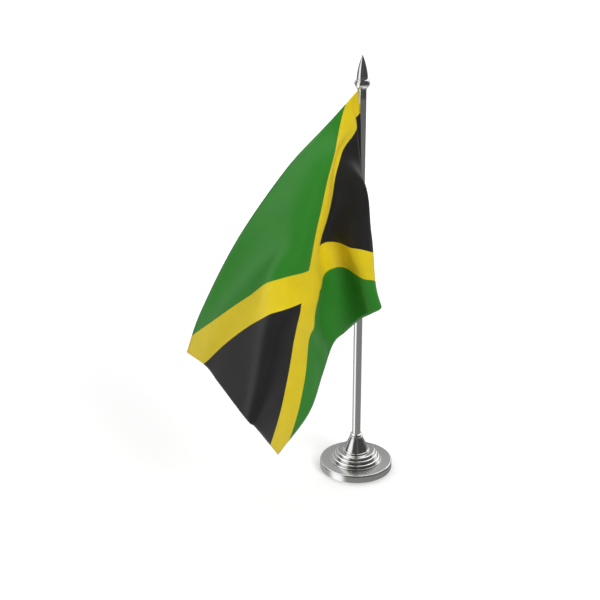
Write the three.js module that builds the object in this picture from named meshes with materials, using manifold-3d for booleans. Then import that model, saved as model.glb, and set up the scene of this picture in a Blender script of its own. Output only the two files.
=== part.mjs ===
// Desk flag stand: a weighted round foot with stacked rings and a cone socket, a slim pole with a ball and
// spear on top, and a small cloth flag that hangs from the top of the pole and turns round it on clips.
// Millimetres, +Z up. The origin is the middle of the foot's underside, on the table. The flag reaches
// towards -X and -Y.
import * as THREE from "three";
import { mergeVertices } from "three/addons/utils/BufferGeometryUtils.js";
import Module from "manifold-3d";

const wasm = await Module();
wasm.setup();

// Foot
const FOOT_RADIUS = 34.5;
const FOOT_TOP = 7.9;
const SHELL_WALL = 0.9;
const SHELL_EDGE = 2.2; // rounding of the shell's top rim
const SHELL_LIFT = 0.4; // the rim stops this far above the table
const PAD_RADIUS = 32;
const PAD_THICKNESS = 1;

// Stacked rings, from the foot up: outer radius and top height
const RINGS = [
  { name: "flange_ring", radius: 24.5, top: 9.1, edge: 0.7 },
  { name: "lower_ring", radius: 22.8, top: 12.1, edge: 1.6 },
  { name: "middle_ring", radius: 20.5, top: 15.3, edge: 1.6 },
  { name: "upper_ring", radius: 18.4, top: 18.1, edge: 1.2 },
];

// Cone socket and its collar
const CONE_FOOT_RADIUS = 12.1;
const CONE_TOP_RADIUS = 6.1;
const CONE_TOP = 32;
const COLLAR_TOP = 36.3;

// Pole and the central bolt
const POLE_RADIUS = 4;
const POLE_BORE = 3.1;
const POLE_BOTTOM = 19;
const POLE_TOP = 377.7;
const PLUG_LENGTH = 12;
const BOLT_RADIUS = 2;
const BOLT_HEAD_RADIUS = 3.5;
const BOLT_HEAD_HEIGHT = 2.2;
const WASHER_RADIUS = 5;
const WASHER_THICKNESS = 0.8;
const BOLT_TOP = 28;

// Finial
const BALL_RADIUS = 6.8;
const BALL_HEIGHT = 8.3;
const SPEAR_RADIUS = 5;
const SPEAR_HEIGHT = 21.4;
const STUD_RADIUS = 1.5;
const STUD_RISE = 16; // how far the stud stands out of the pole
const STUD_DEPTH = 9; // how far it goes down into the pole's plug

// Flag: a sheet cut to 270 by 180, its hoist edge held along the pole. These are six sections across it,
// each from the hoist to the fly: the top edge, one 22.5 mm below it, and then one for every 45 mm of cloth
// from the top edge to the bottom edge.
// Below the top edge the cloth comes forward to a fold on the right, goes back over a valley, comes
// forward again over a ridge and falls away to the left.
const FLAG_SECTIONS = [
  [[-3.4, -3.1, 376.8], [-25, -25, 359], [-37, -35, 349], [-67, -55, 321], [-108, -74, 265], [-140, -77, 200],
    [-154, -73, 158]],
  [[-1.6, -4.4, 352.7], [-8, -6, 352], [-5.5, -10, 351], [-18, -29, 342], [-27, -52, 332],
    [-40, -70, 312], [-64, -85, 279], [-121, -84, 204], [-136, -89, 152]],
  [[-0.5, -4.7, 330.2], [-5.5, -7, 330], [-3.5, -12.5, 330], [-21, -26, 322], [-31, -63, 282],
    [-50, -94, 260], [-74, -104, 247], [-96, -124, 197], [-124, -116, 150]],
  [[1, -4.6, 285.2], [2, -36, 300], [-19, -35, 278], [-36, -46, 251], [-38, -79, 218], [-66, -120, 212],
    [-73, -129, 205], [-87, -152, 167], [-98, -165, 140]],
  [[1, -4.6, 240.2], [9, -42, 255], [-5, -60, 243], [-17, -39, 223], [-35, -53, 187], [-34, -74, 169],
    [-39, -79, 162], [-52, -110, 154], [-91, -163, 132]],
  [[1, -4.6, 195.2], [9, -26, 197], [18, -59, 196], [8.5, -64, 191], [-0.5, -52, 180], [-13, -42, 163], [-24, -46, 153],
    [-34, -74, 136], [-46, -106, 115], [-73, -132, 88]],
];
const CLOTH = 0.6;
const CLOTH_STEPS = [30, 20]; // cells along the flag and down it

// Fittings that hold the hoist edge to the pole and turn round it
const CLIP_BORE = 4.25;
const CLIP_RADIUS = 5.25;
const CLIP_HEIGHT = 4;
const CLIP_GAP = 1.2; // half the width between a clip's two jaws
const CLIP_JAW = 0.9;
const CLIP_REACH = 8; // the jaws' ends, from the pole's axis
const CLIP_TURN = 13; // degrees from -Y towards +X, the way the cloth leaves the pole
const CLIP_BOTTOMS = { flag_clip_middle: 262, flag_clip_bottom: 196.5 };
const TOP_RING_RADIUS = 4.8;
const TOP_RING_LOW = 377.1;
const TOP_RING_HIGH = 377.6;

const FIT = 0.1; // gap between pieces that touch
const ROUND = 40; // sides of the large turned pieces
const SMALL_ROUND = 20;

const METAL = { metalness: 1 };
const finish = {
  chrome: { color: 0xc9c9c7, roughness: 0.12, ...METAL },
  satin: { color: 0xa3a3a2, roughness: 0.35, ...METAL },
  iron: { color: 0x4a4a4c, roughness: 0.7, ...METAL },
  steel: { color: 0x8f9092, roughness: 0.4, ...METAL },
  foam: { color: 0x1c1c1d, roughness: 0.95, metalness: 0 },
  cloth: { color: 0x3f8f3d, roughness: 0.8, metalness: 0 },
};

const group = new THREE.Group();

function add(name, geometry, look) {
  const mesh = new THREE.Mesh(geometry, new THREE.MeshStandardMaterial(finish[look]));
  mesh.name = name;
  group.add(mesh);
  return mesh;
}

// Turns the faces round when a closed geometry is inside out.
function facingOut(geometry) {
  const p = geometry.attributes.position;
  const index = geometry.index.array;
  const corner = (i) => new THREE.Vector3().fromBufferAttribute(p, index[i]);
  let volume = 0;
  for (let i = 0; i < index.length; i += 3) {
    volume += corner(i).dot(corner(i + 1).cross(corner(i + 2)));
  }
  if (volume < 0) {
    index.reverse();
  }
  return geometry;
}

// A piece turned about the pole's axis, from an outline of radius and height.
function turned(outline, sides = ROUND) {
  const points = outline.map(([radius, height]) => new THREE.Vector2(radius, height));
  const geometry = new THREE.LatheGeometry(points, sides).rotateX(Math.PI / 2);
  return facingOut(geometry);
}

// Points of a quarter round, from one angle to another in degrees.
function arc(centreRadius, centreHeight, size, from, to, steps = 4, tall = size) {
  return Array.from({ length: steps + 1 }, (_, i) => {
    const angle = THREE.MathUtils.degToRad(from + ((to - from) * i) / steps);
    return [centreRadius + size * Math.cos(angle), centreHeight + tall * Math.sin(angle)];
  });
}

// A plain ring between two heights.
function ring(inner, outer, low, high, sides) {
  return turned([[inner, low], [outer, low], [outer, high], [inner, high], [inner, low]], sides);
}

function solid(geometry) {
  const bare = new THREE.BufferGeometry();
  bare.setAttribute("position", geometry.toNonIndexed().attributes.position);
  const merged = mergeVertices(bare, 1e-4);
  return new wasm.Manifold(
    new wasm.Mesh({
      numProp: 3,
      vertProperties: merged.attributes.position.array,
      triVerts: new Uint32Array(merged.index.array),
    }),
  );
}

function geometryOf(manifold) {
  const mesh = manifold.getMesh();
  const geometry = new THREE.BufferGeometry();
  geometry.setAttribute("position", new THREE.BufferAttribute(mesh.vertProperties, 3));
  geometry.setIndex(new THREE.BufferAttribute(mesh.triVerts, 1));
  return geometry;
}

// Foot: foam pad, iron weight and spun shell, all round the central bolt.
function addFoot() {
  add("foot_pad", turned([[0, 0], [PAD_RADIUS, 0], [PAD_RADIUS, PAD_THICKNESS], [0, PAD_THICKNESS]]), "foam");

  const inside = FOOT_RADIUS - SHELL_WALL;
  const ceiling = FOOT_TOP - SHELL_WALL;
  const bore = BOLT_RADIUS + 0.3;
  const shell = [
    [inside, SHELL_LIFT],
    [FOOT_RADIUS - 0.3, SHELL_LIFT],
    [FOOT_RADIUS, SHELL_LIFT + 0.4],
    ...arc(FOOT_RADIUS - SHELL_EDGE, FOOT_TOP - SHELL_EDGE, SHELL_EDGE, 0, 90, 4),
    [bore, FOOT_TOP],
    [bore, ceiling],
    [inside - 0.4, ceiling],
    [inside, ceiling - 0.4],
    [inside, SHELL_LIFT],
  ];
  add("foot_shell", turned(shell), "satin");

  // The weight is stepped underneath, so that the bolt's head and washers sit inside it.
  const weightLow = PAD_THICKNESS + FIT;
  const weightHigh = ceiling - FIT;
  const pocket = WASHER_RADIUS + 0.6;
  const pocketTop = weightLow + BOLT_HEAD_HEIGHT + 2 * WASHER_THICKNESS + 0.3;
  const rim = inside - 0.6;
  const weight = [
    [pocket, weightLow],
    [rim, weightLow],
    [rim, weightHigh - 0.6],
    [rim - 0.6, weightHigh],
    [bore, weightHigh],
    [bore, pocketTop],
    [pocket, pocketTop],
    [pocket, weightLow],
  ];
  add("foot_weight", turned(weight), "iron");
  return pocketTop;
}

// The stacked rings, each with a rounded top edge.
function addRings() {
  let low = FOOT_TOP;
  for (const { name, radius, top, edge } of RINGS) {
    const outline = [
      [BOLT_RADIUS + 0.3, low + FIT / 2],
      [radius, low + FIT / 2],
      ...arc(radius - edge, top - edge, edge, 0, 90, 3),
      [BOLT_RADIUS + 0.3, top],
      [BOLT_RADIUS + 0.3, low + FIT / 2],
    ];
    add(name, turned(outline), "chrome");
    low = top;
  }
  return low;
}

// The cone that holds the pole, open above for it and bored below for the bolt.
function addSocket(low) {
  const base = low + FIT / 2;
  const bore = POLE_RADIUS + 0.15;
  const cone = [
    [BOLT_RADIUS + 0.3, base],
    [CONE_FOOT_RADIUS + 0.9, base],
    ...arc(CONE_FOOT_RADIUS + 0.4, base + 0.5, 0.5, 0, 120, 4),
    [CONE_FOOT_RADIUS - 0.2, base + 1.1],
    [CONE_TOP_RADIUS + 0.3, CONE_TOP - 0.4],
    [CONE_TOP_RADIUS, CONE_TOP],
    [bore, CONE_TOP],
    [bore, POLE_BOTTOM - FIT],
    [BOLT_RADIUS + 0.3, POLE_BOTTOM - FIT],
    [BOLT_RADIUS + 0.3, base],
  ];
  add("cone_socket", turned(cone, 32), "chrome");

  const collarLow = CONE_TOP + FIT;
  const collar = [
    [bore, collarLow],
    [5.9, collarLow],
    ...arc(5.5, collarLow + 0.85, 0.8, -60, 70, 4),
    [5, collarLow + 1.8],
    ...arc(4.95, COLLAR_TOP - 1.25, 0.7, -60, 80, 4),
    [4.6, COLLAR_TOP - 0.3],
    [bore, COLLAR_TOP],
    [bore, collarLow],
  ];
  add("pole_collar", turned(collar, 32), "chrome");
}

// The tube and the threaded plug pressed into each of its ends.
function addPole() {
  add("pole_tube", ring(POLE_BORE, POLE_RADIUS, POLE_BOTTOM, POLE_TOP, 32), "chrome");
  const plug = POLE_BORE - 0.05;
  const footLow = POLE_BOTTOM + 0.4;
  add("pole_foot_plug", ring(BOLT_RADIUS + 0.1, plug, footLow, footLow + PLUG_LENGTH, SMALL_ROUND), "steel");
  const topHigh = POLE_TOP - 0.4;
  add("pole_top_plug", ring(STUD_RADIUS + 0.1, plug, topHigh - PLUG_LENGTH, topHigh, SMALL_ROUND), "steel");
}

// The bolt comes up through the weight, shell, rings and cone into the pole's foot plug.
function addBolt(pocketTop) {
  const seat = pocketTop - FIT / 2;
  const washer = ring(BOLT_RADIUS + 0.2, WASHER_RADIUS, seat - WASHER_THICKNESS, seat, SMALL_ROUND);
  add("flat_washer", washer, "steel");

  const lockHigh = seat - WASHER_THICKNESS - FIT / 2;
  const lock = new THREE.Shape();
  const gap = 0.16;
  lock.absarc(0, 0, WASHER_RADIUS - 0.9, gap, 2 * Math.PI - gap, false);
  lock.absarc(0, 0, BOLT_RADIUS + 0.2, 2 * Math.PI - gap, gap, true);
  const lockRing = new THREE.ExtrudeGeometry(lock, {
    depth: WASHER_THICKNESS,
    bevelEnabled: false,
    curveSegments: 16,
  });
  add("lock_washer", lockRing.translate(0, 0, lockHigh - WASHER_THICKNESS), "steel");

  const headHigh = lockHigh - WASHER_THICKNESS - FIT / 2;
  const headLow = headHigh - BOLT_HEAD_HEIGHT;
  const bolt = solid(
    turned([[0, headLow], [BOLT_HEAD_RADIUS, headLow], [BOLT_HEAD_RADIUS, headHigh], [BOLT_RADIUS, headHigh],
      [BOLT_RADIUS, BOLT_TOP], [0, BOLT_TOP]], SMALL_ROUND),
  );
  const socket = new THREE.CylinderGeometry(1.75, 1.75, 3, 6).rotateX(Math.PI / 2);
  const key = solid(socket.translate(0, 0, headLow));
  add("base_bolt", geometryOf(bolt.subtract(key)), "steel");
}

// Ball and spear on a stud. The ball is drilled through and the spear screws down on to it.
function addFinial() {
  const ballLow = POLE_TOP + FIT;
  const stud = [[0, ballLow - STUD_DEPTH], [STUD_RADIUS, ballLow - STUD_DEPTH],
    [STUD_RADIUS, ballLow + STUD_RISE], [0, ballLow + STUD_RISE]];
  add("finial_stud", turned(stud, 16), "steel");

  const bore = STUD_RADIUS + 0.15;
  const ballMiddle = ballLow + BALL_HEIGHT / 2;
  const half = BALL_HEIGHT / 2;
  const flat = 50; // the ball's top and bottom are cut flat at this latitude
  const tall = half / Math.sin(THREE.MathUtils.degToRad(flat));
  const round = arc(0, ballMiddle, BALL_RADIUS, -flat, flat, 10, tall);
  const ball = [[bore, ballMiddle - half], ...round, [bore, ballMiddle + half], [bore, ballMiddle - half]];
  add("finial_ball", turned(ball, 32), "chrome");

  // The spear's side is an ogive: steep at its foot and meeting in a point.
  const spearLow = ballMiddle + half + FIT;
  const steps = 10;
  const side = Array.from({ length: steps + 1 }, (_, i) => {
    const up = i / steps;
    return [SPEAR_RADIUS * (1 - up ** 1.75), spearLow + SPEAR_HEIGHT * up];
  });
  const hole = ballLow + STUD_RISE + 0.4;
  const spear = [[0, hole], [bore, hole], [bore, spearLow], ...side];
  add("finial_spear", turned(spear, 32), "chrome");
}

// The cloth's middle surface as rows of points, from its sections: even steps of length along each one,
// then even steps down a smooth curve through them.
function clothPoints(along, down) {
  const curve = (points) => new THREE.CatmullRomCurve3(points, false, "catmullrom", 0.5);
  const rows = FLAG_SECTIONS.map((section) =>
    curve(section.map((point) => new THREE.Vector3(...point))).getSpacedPoints(along),
  );
  return Array.from({ length: along + 1 }, (_, i) => curve(rows.map((row) => row[i])).getSpacedPoints(down));
}

// A sheet of even thickness about a grid of points, closed round its four edges.
function sheet(grid, thickness) {
  const along = grid.length - 1;
  const down = grid[0].length - 1;
  const at = (i, j) => grid[Math.min(Math.max(i, 0), along)][Math.min(Math.max(j, 0), down)];
  const positions = [];
  for (const side of [0.5, -0.5]) {
    for (let i = 0; i <= along; i++) {
      for (let j = 0; j <= down; j++) {
        const across = at(i + 1, j).clone().sub(at(i - 1, j));
        const fall = at(i, j + 1).clone().sub(at(i, j - 1));
        const normal = across.cross(fall).normalize();
        positions.push(...at(i, j).clone().addScaledVector(normal, side * thickness));
      }
    }
  }
  const index = [];
  const columns = down + 1;
  const back = (along + 1) * columns;
  const quad = (a, b, c, d) => index.push(a, b, c, a, c, d);
  for (let i = 0; i < along; i++) {
    for (let j = 0; j < down; j++) {
      const a = i * columns + j;
      quad(a, a + columns, a + columns + 1, a + 1);
      quad(back + a, back + a + 1, back + a + columns + 1, back + a + columns);
    }
  }
  const rim = (a, b) => quad(a, back + a, back + b, b);
  for (let i = 0; i < along; i++) {
    rim(i * columns, (i + 1) * columns);
    rim((i + 1) * columns + down, i * columns + down);
  }
  for (let j = 0; j < down; j++) {
    rim(j + 1, j);
    rim(along * columns + j, along * columns + j + 1);
  }
  const geometry = new THREE.BufferGeometry();
  geometry.setAttribute("position", new THREE.Float32BufferAttribute(positions, 3));
  geometry.setIndex(index);
  return facingOut(geometry);
}

// A spring clip: a ring open on one side, with two jaws for the flag's edge.
function clip() {
  const reach = (radius, side) => Math.sqrt(radius ** 2 - side ** 2);
  const outside = CLIP_GAP + CLIP_JAW;
  const shape = new THREE.Shape();
  const outerTurn = Math.atan2(-reach(CLIP_RADIUS, outside), outside);
  const innerTurn = Math.atan2(-reach(CLIP_BORE, CLIP_GAP), CLIP_GAP);
  shape.moveTo(CLIP_GAP, -CLIP_REACH);
  shape.lineTo(outside, -CLIP_REACH);
  shape.absarc(0, 0, CLIP_RADIUS, outerTurn, Math.PI - outerTurn, false);
  shape.lineTo(-outside, -CLIP_REACH);
  shape.lineTo(-CLIP_GAP, -CLIP_REACH);
  shape.absarc(0, 0, CLIP_BORE, Math.PI - innerTurn, innerTurn, true);
  const geometry = new THREE.ExtrudeGeometry(shape, {
    depth: CLIP_HEIGHT,
    bevelEnabled: false,
    curveSegments: 20,
  });
  return geometry.rotateZ(THREE.MathUtils.degToRad(CLIP_TURN));
}

function addFlag() {
  add("flag_cloth", sheet(clothPoints(...CLOTH_STEPS), CLOTH), "cloth");
  add("flag_top_ring", ring(CLIP_BORE, TOP_RING_RADIUS, TOP_RING_LOW, TOP_RING_HIGH, 32), "steel");
  for (const [name, bottom] of Object.entries(CLIP_BOTTOMS)) {
    add(name, clip().translate(0, 0, bottom), "steel");
  }
}

addRings();
const pocketTop = addFoot();
addSocket(RINGS.at(-1).top);
addPole();
addBolt(pocketTop);
addFinial();
addFlag();

export default group;
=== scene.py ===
"""Desk flag stand: a chromed foot, pole and finial, and a small folded cloth flag.

Lengths are millimetres in the named dimensions and metres in Blender. The stand's pole is the Z axis, the
table is Z = 0 and the camera looks along +Y.
"""

import math

import bpy
import numpy as np
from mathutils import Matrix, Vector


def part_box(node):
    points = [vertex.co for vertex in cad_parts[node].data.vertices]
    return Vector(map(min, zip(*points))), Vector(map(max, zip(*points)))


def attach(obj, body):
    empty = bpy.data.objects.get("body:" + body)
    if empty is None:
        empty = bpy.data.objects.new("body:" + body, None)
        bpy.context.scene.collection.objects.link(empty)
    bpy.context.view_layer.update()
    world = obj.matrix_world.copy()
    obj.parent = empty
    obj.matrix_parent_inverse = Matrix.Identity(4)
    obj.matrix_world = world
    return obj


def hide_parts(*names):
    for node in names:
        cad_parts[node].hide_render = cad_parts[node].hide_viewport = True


MM = 0.001

# Camera, in metres and degrees
CAMERA_PLACE = (-0.0539, -1.2939, 0.7596)
CAMERA_PITCH = 24.29
CAMERA_LENS = 92.4

# Stand: what the turned outlines need beside the radius, bottom and top that the frame gives
BOLT_HOLE = 2.3
SHELL_WALL = 0.9
SHELL_EDGE = 1.4  # rounding of the foot's top rim
RING_SHOULDERS = {  # width and height of each ring's rounded shoulder
    "flange_ring": (0.7, 0.7),
    "lower_ring": (2, 1),
    "middle_ring": (2, 1),
    "upper_ring": (1.6, 1),
}
RING_REACH = 3.2  # flat top inside a ring's outer edge
UNDERCUT = 0.35  # rounding under a ring's edge
CONE_LOW_RADIUS = 11.9
CONE_TAPER = 5.5  # how much the cone's side loses in radius
CONE_TOP_RADIUS = 6.1
SOCKET_BORE = 4.15
SOCKET_FLOOR = 18.9
TUBE_BORE = 3.1
BALL_FLAT = 50  # degrees above the ball's middle at which its flat ends lie
STUD_HOLE = 1.65
STUD_ROOM = 0.4  # between the stud's tip and the end of its hole
SPEAR_SWELL = 1.75  # how full the spear's side is: 1 would be a straight cone
RING_WIRE = 0.5

# Flag: the size it was cut to, its printed saltire and its weave
FLAG_LENGTH = 270
FLAG_HEIGHT = 180
BAND_SLOPE = 0.63  # fall of a gold band for each unit along the flag
BAND_HALF = 15.5  # half a band's width, measured up and down the flag
CLOTH = 0.3
CELLS = (108, 72)  # of the cloth's mesh, along the flag and down it
PLEAT = 14  # width of the pleat beside the pole
EASING = 25  # rounds that ease the cloth's creases
WARP_PITCH = 0.32
WEFT_PITCH = 0.24

# The flag's sections, each from the hoist to the fly: the top edge, one 22.5 mm below it, and then one for
# every 45 mm of cloth down to the bottom edge. They are the CAD model's. Most of the points are the rounded
# result of a fit that was made outside this script, and the rest were set one by one.
FLAG_SECTIONS = [
    [(-3.4, -3.1, 376.8), (-25, -25, 359), (-37, -35, 349), (-67, -55, 321), (-108, -74, 265),
     (-140, -77, 200), (-154, -73, 158)],
    [(-1.6, -4.4, 352.7), (-8, -6, 352), (-5.5, -10, 351), (-18, -29, 342), (-27, -52, 332),
     (-40, -70, 312), (-64, -85, 279), (-121, -84, 204), (-136, -89, 152)],
    [(-0.5, -4.7, 330.2), (-5.5, -7, 330), (-3.5, -12.5, 330), (-21, -26, 322), (-31, -63, 282),
     (-50, -94, 260), (-74, -104, 247), (-96, -124, 197), (-124, -116, 150)],
    [(1, -4.6, 285.2), (2, -36, 300), (-19, -35, 278), (-36, -46, 251), (-38, -79, 218), (-66, -120, 212),
     (-73, -129, 205), (-87, -152, 167), (-98, -165, 140)],
    [(1, -4.6, 240.2), (9, -42, 255), (-5, -60, 243), (-17, -39, 223), (-35, -53, 187), (-34, -74, 169),
     (-39, -79, 162), (-52, -110, 154), (-91, -163, 132)],
    [(1, -4.6, 195.2), (9, -26, 197), (18, -59, 196), (8.5, -64, 191), (-0.5, -52, 180), (-13, -42, 163),
     (-24, -46, 153), (-34, -74, 136), (-46, -106, 115), (-73, -132, 88)],
]

GREEN = (0.030, 0.250, 0.020)
GOLD = (0.900, 0.690, 0.012)
BLACK = (0.017, 0.017, 0.017)

FLOOR_HALF = 4.0  # metres from the floor's middle to its sides

# Lamps: name, place and target in metres, side in metres and power in watts
LAMPS = [
    ("overhead", (0.2, 0.1, 2.4), (0, 0, 0), 3.2, 12),
    ("right_key", (1.45, -1.86, 1.3), (0, 0, 0.2), 1.2, 40),
]

# The studio: the brightness of the dim room, and its lit panels. Each panel has its span to the right of
# the camera and above the horizon in degrees, how soft its edges are and how much brighter it is.
ROOM = 0.065
PANELS = [
    ((-86, -42), (-80, 60), 13, 1.12),  # tall softbox at the left
    ((-200, -112), (-12, 100), 6, 0.28),  # walls behind
    ((128, 200), (-12, 100), 6, 0.28),
    ((-168, -115), (-5, 60), 6, 0.25),  # windows behind, at the left and right
    ((112, 165), (-5, 60), 6, 0.25),
    ((112, 160), (14, 40), 5, 1.0),
    ((8, 22), (-10, 50), 4, 0.06),  # strip beside the camera
    ((-200, -85), (44, 82), 8, 1.1),  # ceiling lamps behind
    ((85, 200), (44, 82), 8, 1.1),
    ((-200, 200), (-100, -18), 8, 0.20),  # table
    ((-200, -88), (-100, -18), 8, 0.20),
    ((-200, 200), (-100, -42), 8, 0.60),
]


# ---------------------------------------------------------------- meshes

def mesh_object(name, points, faces, sharp):
    """A new smooth object from points in millimetres, with sharp edges past an angle in degrees."""
    mesh = bpy.data.meshes.new(name)
    mesh.from_pydata([tuple(MM * c for c in p) for p in points], [], faces)
    mesh.validate()
    mesh.shade_smooth()
    mesh.set_sharp_from_angle(angle=math.radians(sharp))
    piece = bpy.data.objects.new(name, mesh)
    bpy.context.scene.collection.objects.link(piece)
    return piece


def turned(name, outline, sides):
    """A piece turned about the pole's axis. The outline is closed, or starts and ends on the axis."""
    angles = np.linspace(0, 2 * math.pi, sides, endpoint=False)
    points = []
    rows = []
    for radius, height in outline:
        if radius < 1e-6:
            rows.append([len(points)] * sides)
            points.append((0, 0, height))
            continue
        rows.append(list(range(len(points), len(points) + sides)))
        points.extend((radius * math.cos(a), radius * math.sin(a), height) for a in angles)
    closed = outline[0][0] > 1e-6
    faces = []
    for i in range(len(rows) if closed else len(rows) - 1):
        low, high = rows[i], rows[(i + 1) % len(rows)]
        for j in range(sides):
            k = (j + 1) % sides
            face = list(dict.fromkeys((low[j], low[k], high[k], high[j])))
            if len(face) > 2:
                faces.append(face)
    return mesh_object(name, points, faces, sharp=50)


def arc(radius, height, size, start, end, steps=8, tall=None):
    """Points of a round corner about a centre, between two angles in degrees. Its half height may differ."""
    tall = size if tall is None else tall
    angles = np.radians(np.linspace(start, end, steps + 1))
    return [(radius + size * math.cos(a), height + tall * math.sin(a)) for a in angles]


def span(node):
    """A turned node's outer radius, bottom and top in millimetres."""
    low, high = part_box(node)
    return high[0] / MM, low[2] / MM, high[2] / MM


# ---------------------------------------------------------------- materials

def new_material(name):
    """A new material, its nodes and its main shader."""
    material = bpy.data.materials.new(name)
    material.use_nodes = True
    return material, material.node_tree, material.node_tree.nodes["Principled BSDF"]


class Nodes:
    """Short ways to add and join shader nodes."""

    def __init__(self, tree):
        self.tree = tree

    def add(self, kind, **inputs):
        node = self.tree.nodes.new(kind)
        for key, value in inputs.items():
            node.inputs[key.replace("_", " ")].default_value = value
        return node

    def link(self, output, socket):
        self.tree.links.new(output, socket)

    def math(self, operation, *values, clamp=False):
        node = self.tree.nodes.new("ShaderNodeMath")
        node.operation = operation
        node.use_clamp = clamp
        for socket, value in zip(node.inputs, values):
            if isinstance(value, (int, float)):
                socket.default_value = value
            else:
                self.link(value, socket)
        return node.outputs[0]

    def mix(self, factor, first, second):
        node = self.tree.nodes.new("ShaderNodeMix")
        node.data_type = "RGBA"
        colours = [s for s in node.inputs if s.type == "RGBA"]
        for socket, value in ((node.inputs[0], factor), (colours[0], first), (colours[1], second)):
            if isinstance(value, (int, float)):
                socket.default_value = value
            elif isinstance(value, tuple):
                socket.default_value = (*value, 1)
            else:
                self.link(value, socket)
        return [s for s in node.outputs if s.type == "RGBA"][0]

    def scale(self, low, high, value):
        """A value from 0 to 1 spread between low and high."""
        return self.math("MULTIPLY_ADD", value, high - low, low)


def metal(name, colour, roughness, spread=0.05, brushed=0.0):
    """Plated or spun metal with fine handling marks, and turning lines where it is brushed."""
    material, tree, shader = new_material(name)
    n = Nodes(tree)
    place = n.add("ShaderNodeTexCoord").outputs["Object"]
    haze = n.add("ShaderNodeTexNoise", Scale=55.0, Detail=6.0, Roughness=0.6)
    n.link(place, haze.inputs["Vector"])
    shader.inputs["Metallic"].default_value = 1
    dark = tuple(0.93 * c for c in colour)
    n.link(n.mix(haze.outputs["Fac"], dark, colour), shader.inputs["Base Color"])

    marks = n.add("ShaderNodeTexNoise", Scale=900.0, Detail=3.0, Roughness=0.7)
    n.link(place, marks.inputs["Vector"])
    mixed = n.math("MULTIPLY", haze.outputs["Fac"], marks.outputs["Fac"])
    rough = n.math("MULTIPLY_ADD", mixed, 2 * spread, roughness - spread / 2, clamp=True)
    n.link(rough, shader.inputs["Roughness"])

    bump = n.add("ShaderNodeBump", Strength=0.05, Distance=0.00005)
    height = marks.outputs["Fac"]
    if brushed:
        # Lines left by the tool: noise in radius and height only, so that they run round the axis.
        split = n.add("ShaderNodeSeparateXYZ")
        n.link(place, split.inputs[0])
        squares = [n.math("MULTIPLY", split.outputs[i], split.outputs[i]) for i in (0, 1)]
        radius = n.math("SQRT", n.math("ADD", *squares))
        join = n.add("ShaderNodeCombineXYZ")
        n.link(radius, join.inputs[0])
        n.link(split.outputs[2], join.inputs[2])
        lines = n.add("ShaderNodeTexNoise", Scale=2600.0, Detail=4.0, Roughness=0.75)
        n.link(join.outputs[0], lines.inputs["Vector"])
        height = n.math("ADD", height, n.math("MULTIPLY", lines.outputs["Fac"], 1 + 4 * brushed))
        bump.inputs["Strength"].default_value = brushed
    n.link(height, bump.inputs["Height"])
    n.link(bump.outputs[0], shader.inputs["Normal"])
    return material


def foam(name):
    """Black closed-cell foam."""
    material, tree, shader = new_material(name)
    n = Nodes(tree)
    cells = n.add("ShaderNodeTexVoronoi", Scale=1800.0)
    n.link(n.add("ShaderNodeTexCoord").outputs["Object"], cells.inputs["Vector"])
    n.link(n.mix(cells.outputs["Distance"], (0.012, 0.012, 0.012), (0.035, 0.035, 0.036)),
           shader.inputs["Base Color"])
    shader.inputs["Roughness"].default_value = 0.92
    bump = n.add("ShaderNodeBump", Strength=0.6, Distance=0.0002)
    n.link(cells.outputs["Distance"], bump.inputs["Height"])
    n.link(bump.outputs[0], shader.inputs["Normal"])
    return material


def saltire(n, along, down):
    """The printed colours: gold diagonal bands, green above and below them, black at the two ends."""
    drop = (FLAG_HEIGHT - BAND_SLOPE * FLAG_LENGTH) / 2
    falling = n.math("MULTIPLY_ADD", along, BAND_SLOPE, drop)
    rising = n.math("SUBTRACT", FLAG_HEIGHT, falling)
    from_falling = n.math("SUBTRACT", down, falling)
    from_rising = n.math("SUBTRACT", down, rising)
    fly = n.math("MULTIPLY", n.math("LESS_THAN", from_falling, 0), n.math("GREATER_THAN", from_rising, 0))
    hoist = n.math("MULTIPLY", n.math("GREATER_THAN", from_falling, 0), n.math("LESS_THAN", from_rising, 0))
    field = n.mix(n.math("ADD", fly, hoist), GREEN, BLACK)
    nearest = n.math("MINIMUM", n.math("ABSOLUTE", from_falling), n.math("ABSOLUTE", from_rising))
    edge = n.math("MULTIPLY_ADD", n.math("SUBTRACT", BAND_HALF, nearest), 4, 0.5, clamp=True)
    return n.mix(edge, field, GOLD)


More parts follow.
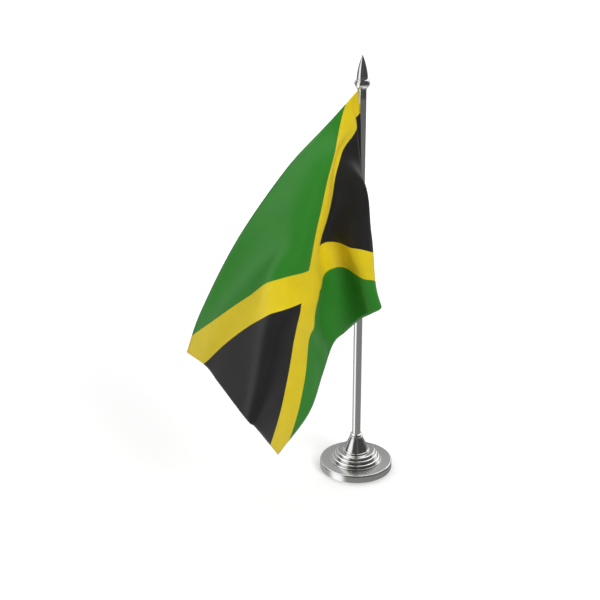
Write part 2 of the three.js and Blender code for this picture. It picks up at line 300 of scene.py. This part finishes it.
def flag_print(name):
    """Satin polyester with a printed saltire. The UV map holds millimetres of flat cloth, over 1000."""
    material, tree, shader = new_material(name)
    n = Nodes(tree)
    place = n.add("ShaderNodeTexCoord").outputs["UV"]
    flat = n.add("ShaderNodeSeparateXYZ")
    n.link(place, flat.inputs[0])
    along = n.math("MULTIPLY", flat.outputs[0], 1000)
    down = n.math("MULTIPLY", flat.outputs[1], 1000)

    # Dye that took a little unevenly
    cloud = n.add("ShaderNodeTexNoise", Scale=60.0, Detail=4.0, Roughness=0.55)
    n.link(place, cloud.inputs["Vector"])
    shade = n.add("ShaderNodeHueSaturation")
    n.link(n.scale(0.90, 1.10, cloud.outputs["Fac"]), shade.inputs["Value"])
    n.link(saltire(n, along, down), shade.inputs["Color"])

    # Satin weave: long floats of warp with a fine weft between them
    warp = n.math("SINE", n.math("MULTIPLY", along, 2 * math.pi / WARP_PITCH))
    weft = n.math("SINE", n.math("MULTIPLY", down, 2 * math.pi / WEFT_PITCH))
    weave = n.math("MULTIPLY_ADD", weft, 0.6, warp)
    slub = n.add("ShaderNodeTexNoise", Scale=700.0, Detail=2.0)
    n.link(place, slub.inputs["Vector"])
    bump = n.add("ShaderNodeBump", Strength=0.25, Distance=0.0001)
    n.link(n.math("ADD", n.math("MULTIPLY", weave, 0.25), slub.outputs["Fac"]), bump.inputs["Height"])
    n.link(bump.outputs[0], shader.inputs["Normal"])
    tint = n.add("ShaderNodeMix")
    tint.data_type = "RGBA"
    tint.blend_type = "MULTIPLY"
    tint.inputs[0].default_value = 1
    colours = [s for s in tint.inputs if s.type == "RGBA"]
    n.link(shade.outputs[0], colours[0])
    n.link(n.math("MULTIPLY_ADD", weave, 0.02, 1), colours[1])
    n.link([s for s in tint.outputs if s.type == "RGBA"][0], shader.inputs["Base Color"])

    n.link(n.scale(0.42, 0.52, cloud.outputs["Fac"]), shader.inputs["Roughness"])
    shader.inputs["Specular IOR Level"].default_value = 0.6
    shader.inputs["Sheen Weight"].default_value = 0.08
    shader.inputs["Sheen Roughness"].default_value = 0.35
    shader.inputs["Sheen Tint"].default_value = (0.9, 0.9, 0.85, 1)
    return material


# ---------------------------------------------------------------- the stand

def keep(name, node, outline, material, sides=128, body="stand"):
    """Turn a piece from its outline and let it stand for a CAD node."""
    piece = turned(name, outline, sides)
    piece.data.materials.append(material)
    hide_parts(node)
    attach(piece, body)


def foot_cover(material):
    radius, low, high = span("foot_shell")
    rim = SHELL_EDGE
    inside = radius - SHELL_WALL
    under = high - SHELL_WALL
    outline = [(BOLT_HOLE, high), *reversed(arc(radius - rim, high - rim, rim, 0, 90, 12)),
               (radius, low + 0.5), *arc(radius - 0.3, low + 0.3, 0.3, 0, -90, 4), (inside, low),
               *reversed(arc(inside - 0.5, under - 0.5, 0.5, 0, 90, 4)), (BOLT_HOLE, under)]
    keep("foot_cover", "foot_shell", outline, material, 192)


def stacked_rings(material):
    for node, (wide, tall) in RING_SHOULDERS.items():
        radius, low, high = span(node)
        foot = radius - UNDERCUT
        outline = [(BOLT_HOLE, low), (foot, low), *arc(foot, low + UNDERCUT, UNDERCUT, -60, 0, 3),
                   *arc(radius - wide, high - tall, wide, 0, 90, 12, tall), (radius - RING_REACH, high),
                   (BOLT_HOLE, high)]
        keep(node + "_turned", node, outline, material, 160)


def cone_socket(material):
    radius, low, high = span("cone_socket")
    side = [(CONE_LOW_RADIUS - CONE_TAPER * t, low + 1.1 + (high - low - 1.5) * t)
            for t in np.linspace(0, 1, 8)]
    outline = [(BOLT_HOLE, low), (radius, low), *arc(radius - 0.5, low + 0.5, 0.5, 0, 120, 6), *side,
               (CONE_TOP_RADIUS, high), (SOCKET_BORE, high), (SOCKET_BORE, SOCKET_FLOOR),
               (BOLT_HOLE, SOCKET_FLOOR)]
    keep("cone_socket_turned", "cone_socket", outline, material)


def pole_collar(material):
    """Two beads, the lower one the larger."""
    low, high = span("pole_collar")[1:]
    outline = [(SOCKET_BORE, low), (5.9, low), *arc(5.5, low + 0.85, 0.8, -60, 70, 10), (5.0, low + 1.8),
               *arc(4.95, high - 1.25, 0.7, -60, 80, 10), (4.6, high - 0.3), (SOCKET_BORE, high)]
    keep("pole_collar_turned", "pole_collar", outline, material, 96)


def pole_tube(material):
    radius, low, high = span("pole_tube")
    outer, inner = 0.25, 0.2  # bevels of the tube's ends
    side = [(radius, z) for z in np.linspace(low + 10, high - 10, 12)]
    outline = [(TUBE_BORE, low + inner), (TUBE_BORE + inner, low), (radius - outer, low),
               (radius, low + outer), *side, (radius, high - outer), (radius - outer, high),
               (TUBE_BORE + inner, high), (TUBE_BORE, high - inner)]
    keep("pole_tube_turned", "pole_tube", outline, material, 96)


def finial_ball(material):
    radius, low, high = span("finial_ball")
    tall = (high - low) / 2 / math.sin(math.radians(BALL_FLAT))
    side = arc(0, (low + high) / 2, radius, -BALL_FLAT, BALL_FLAT, 28, tall)
    outline = [(STUD_HOLE, low), *side, (STUD_HOLE, high)]
    keep("finial_ball_turned", "finial_ball", outline, material, 96, "finial_rise")


def finial_spear(material):
    radius, low, high = span("finial_spear")
    side = [(radius * (1 - t ** SPEAR_SWELL), low + (high - low) * t) for t in np.linspace(0, 1, 33)]
    bored = span("finial_stud")[2] + STUD_ROOM
    outline = [(0, bored), (STUD_HOLE, bored), (STUD_HOLE, low), *side]
    keep("finial_spear_turned", "finial_spear", outline, material, 96, "finial")


def flag_top_ring(material):
    radius, low, high = span("flag_top_ring")
    thick = (high - low) / 2
    outline = arc(radius - RING_WIRE, low + thick, RING_WIRE, 0, 330, 11, thick)
    keep("flag_top_ring_turned", "flag_top_ring", outline, material, 64, "flag")


# ---------------------------------------------------------------- the flag

def spline(points, places):
    """A smooth curve through a list of points, at places from 0 to 1 counted in equal spans."""
    points = np.asarray(points, float)
    padded = np.concatenate([[2 * points[0] - points[1]], points, [2 * points[-1] - points[-2]]])
    spans = len(points) - 1
    x = np.clip(np.asarray(places) * spans, 0, spans - 1e-9)
    i = x.astype(int)
    t = (x - i).reshape(-1, *[1] * (points.ndim - 1))
    a, b, c, d = padded[i], padded[i + 1], padded[i + 2], padded[i + 3]
    return 0.5 * (2 * b + (c - a) * t + (2 * a - 5 * b + 4 * c - d) * t**2 + (3 * b - a - 3 * c + d) * t**3)


def even_points(points, count):
    """Points at even steps of length along the curve through the given ones."""
    fine = spline(points, np.linspace(0, 1, 400))
    length = np.r_[0, np.cumsum(np.linalg.norm(np.diff(fine, axis=0), axis=1))]
    steps = np.linspace(0, length[-1], count)
    return np.stack([np.interp(steps, length, fine[:, k]) for k in range(3)], axis=1)


def flag_grid():
    """The hanging cloth as a grid of points, first along the flag and then down it."""
    rows = np.array([even_points(section, CELLS[0] + 1) for section in FLAG_SECTIONS])
    grid = np.array([even_points(column, CELLS[1] + 1) for column in rows.transpose(1, 0, 2)])
    # Creases are eased by moving the cloth along the camera's rays only, so that its outline holds. The
    # pleat beside the pole keeps its shape.
    rays = grid - np.divide(CAMERA_PLACE, MM)
    rays /= np.linalg.norm(rays, axis=2, keepdims=True)
    from_hoist = np.linspace(0, FLAG_LENGTH, CELLS[0] + 1)
    give = 0.25 * np.clip((from_hoist - PLEAT) / PLEAT, 0, 1)[:, None, None]
    for _ in range(EASING):
        bend = np.zeros_like(grid)
        bend[1:-1] += grid[2:] + grid[:-2] - 2 * grid[1:-1]
        bend[:, 1:-1] += grid[:, 2:] + grid[:, :-2] - 2 * grid[:, 1:-1]
        grid = grid + give * (bend * rays).sum(axis=2, keepdims=True) * rays
    return grid


def flag_piece(material):
    """The cloth, with a UV map of its flat size."""
    grid = flag_grid()
    across, down = grid.shape[0] - 1, grid.shape[1] - 1
    columns = down + 1
    faces = [(i * columns + j, (i + 1) * columns + j, (i + 1) * columns + j + 1, i * columns + j + 1)
             for i in range(across) for j in range(down)]
    piece = mesh_object("flag_sheet", grid.reshape(-1, 3), faces, sharp=180)
    uv = piece.data.uv_layers.new(name="UVMap")
    flat = np.array([(i * FLAG_LENGTH / across * MM, j * FLAG_HEIGHT / down * MM)
                     for i in range(across + 1) for j in range(columns)])
    corners = np.empty(len(piece.data.loops), dtype=np.int32)
    piece.data.loops.foreach_get("vertex_index", corners)
    uv.data.foreach_set("uv", flat[corners].ravel())
    piece.data.materials.append(material)
    thick = piece.modifiers.new("Thickness", "SOLIDIFY")
    thick.thickness = CLOTH * MM
    thick.offset = 0
    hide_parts("flag_cloth")
    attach(piece, "flag")


# ---------------------------------------------------------------- stage, lights and camera

def stage():
    """A white sweep that glows with painted light, that the chrome doesn't mirror and that throws no light
    on the stand.
    """
    size = FLOOR_HALF
    mesh = bpy.data.meshes.new("floor")
    corners = [(-size, -size, 0), (size, -size, 0), (size, size, 0), (-size, size, 0)]
    mesh.from_pydata(corners, [], [(0, 1, 2, 3)])
    floor = bpy.data.objects.new("floor", mesh)
    bpy.context.scene.collection.objects.link(floor)
    material, tree, shader = new_material("floor_white")
    n = Nodes(tree)
    shader.inputs["Base Color"].default_value = (0.9, 0.9, 0.9, 1)
    shader.inputs["Emission Color"].default_value = (1, 1, 1, 1)
    # Painted light: the sweep glows by its own emission, more so away from the stand, so a painted shade
    # lies round the stand.
    reach = n.tree.nodes.new("ShaderNodeVectorMath")
    reach.operation = "LENGTH"
    n.link(n.add("ShaderNodeTexCoord").outputs["Object"], reach.inputs[0])
    painted_glow = n.math("MULTIPLY", n.math("SUBTRACT", reach.outputs["Value"], 0.1), 1.6, clamp=True)
    n.link(n.scale(0.14, 0.45, painted_glow), shader.inputs["Emission Strength"])
    shader.inputs["Roughness"].default_value = 0.9
    shader.inputs["Specular IOR Level"].default_value = 0.1
    mesh.materials.append(material)
    floor.visible_glossy = False
    floor.visible_diffuse = False


def area_light(name, place, target, size, power):
    """A square lamp that points at its target and doesn't show in the chrome."""
    data = bpy.data.lights.new(name, "AREA")
    data.shape = "RECTANGLE"
    data.size = data.size_y = size
    data.energy = power
    lamp = bpy.data.objects.new(name, data)
    bpy.context.scene.collection.objects.link(lamp)
    lamp.location = place
    aim = np.subtract(target, place)
    away = math.hypot(aim[0], aim[1])
    lamp.rotation_euler = (math.atan2(away, -aim[2]), 0, math.atan2(-aim[0], aim[1]))
    lamp.visible_glossy = False


def studio_world():
    """The studio as the chrome sees it: a dim room and the lit panels about the stand."""
    world = bpy.data.worlds.new("studio")
    bpy.context.scene.world = world
    world.use_nodes = True
    n = Nodes(world.node_tree)
    way = n.add("ShaderNodeSeparateXYZ")
    n.link(n.add("ShaderNodeTexCoord").outputs["Generated"], way.inputs[0])
    x, y, z = way.outputs
    flat = n.math("SQRT", n.math("ADD", n.math("MULTIPLY", x, x), n.math("MULTIPLY", y, y)))
    turn = n.math("ARCTAN2", x, n.math("MULTIPLY", y, -1))
    rise = n.math("ARCTAN2", z, flat)

    def band(value, low, high, soft):
        low, high, soft = (math.radians(a) for a in (low, high, soft))
        up = n.math("MULTIPLY_ADD", n.math("SUBTRACT", value, low), 1 / soft, 0.5, clamp=True)
        down = n.math("MULTIPLY_ADD", n.math("SUBTRACT", high, value), 1 / soft, 0.5, clamp=True)
        return n.math("MULTIPLY", up, down)

    total = ROOM
    for (left, right), (low, high), soft, light in PANELS:
        lit = n.math("MULTIPLY", band(turn, left, right, soft), band(rise, low, high, 2 * soft))
        total = n.math("MULTIPLY_ADD", lit, light, total)
    seen = n.add("ShaderNodeLightPath").outputs["Is Camera Ray"]
    n.link(n.mix(seen, total, (1.0, 1.0, 1.0)), n.tree.nodes["Background"].inputs["Color"])


def camera():
    """The camera, level from side to side."""
    data = bpy.data.cameras.new("camera")
    data.lens = CAMERA_LENS
    data.sensor_width = 36
    eye = bpy.data.objects.new("camera", data)
    bpy.context.scene.collection.objects.link(eye)
    eye.location = CAMERA_PLACE
    eye.rotation_euler = (math.radians(90 - CAMERA_PITCH), 0, 0)
    bpy.context.scene.camera = eye


# ---------------------------------------------------------------- scene

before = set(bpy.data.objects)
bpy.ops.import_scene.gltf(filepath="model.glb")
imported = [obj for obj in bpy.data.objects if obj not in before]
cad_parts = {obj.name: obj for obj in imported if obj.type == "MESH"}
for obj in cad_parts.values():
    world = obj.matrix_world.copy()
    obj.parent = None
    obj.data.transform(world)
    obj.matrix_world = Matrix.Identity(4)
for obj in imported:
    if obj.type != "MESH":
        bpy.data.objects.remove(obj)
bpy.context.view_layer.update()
bpy.context.scene.view_settings.view_transform = "Standard"

camera()
stage()
studio_world()
for lamp in LAMPS:
    area_light(*lamp)

chrome = metal("chrome_plate", (0.78, 0.78, 0.77), 0.15, 0.04)
satin = metal("satin_plate", (0.74, 0.74, 0.73), 0.24, 0.05, brushed=0.05)
steel = metal("zinc_steel", (0.52, 0.53, 0.55), 0.38, 0.12)
iron = metal("cast_iron", (0.12, 0.12, 0.125), 0.6, 0.2)
pad = foam("foam_pad")

foot_cover(satin)
for make in (stacked_rings, cone_socket, pole_collar, pole_tube, finial_ball, finial_spear, flag_top_ring):
    make(chrome)
flag_piece(flag_print("flag_print"))

inner = {"foot_pad": pad, "foot_weight": iron, "finial_stud": steel, "pole_foot_plug": steel,
         "pole_top_plug": steel, "base_bolt": steel, "flat_washer": steel, "lock_washer": steel,
         "flag_clip_middle": chrome, "flag_clip_bottom": chrome}
for node, material in inner.items():
    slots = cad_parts[node].data.materials
    slots.clear()
    slots.append(material)
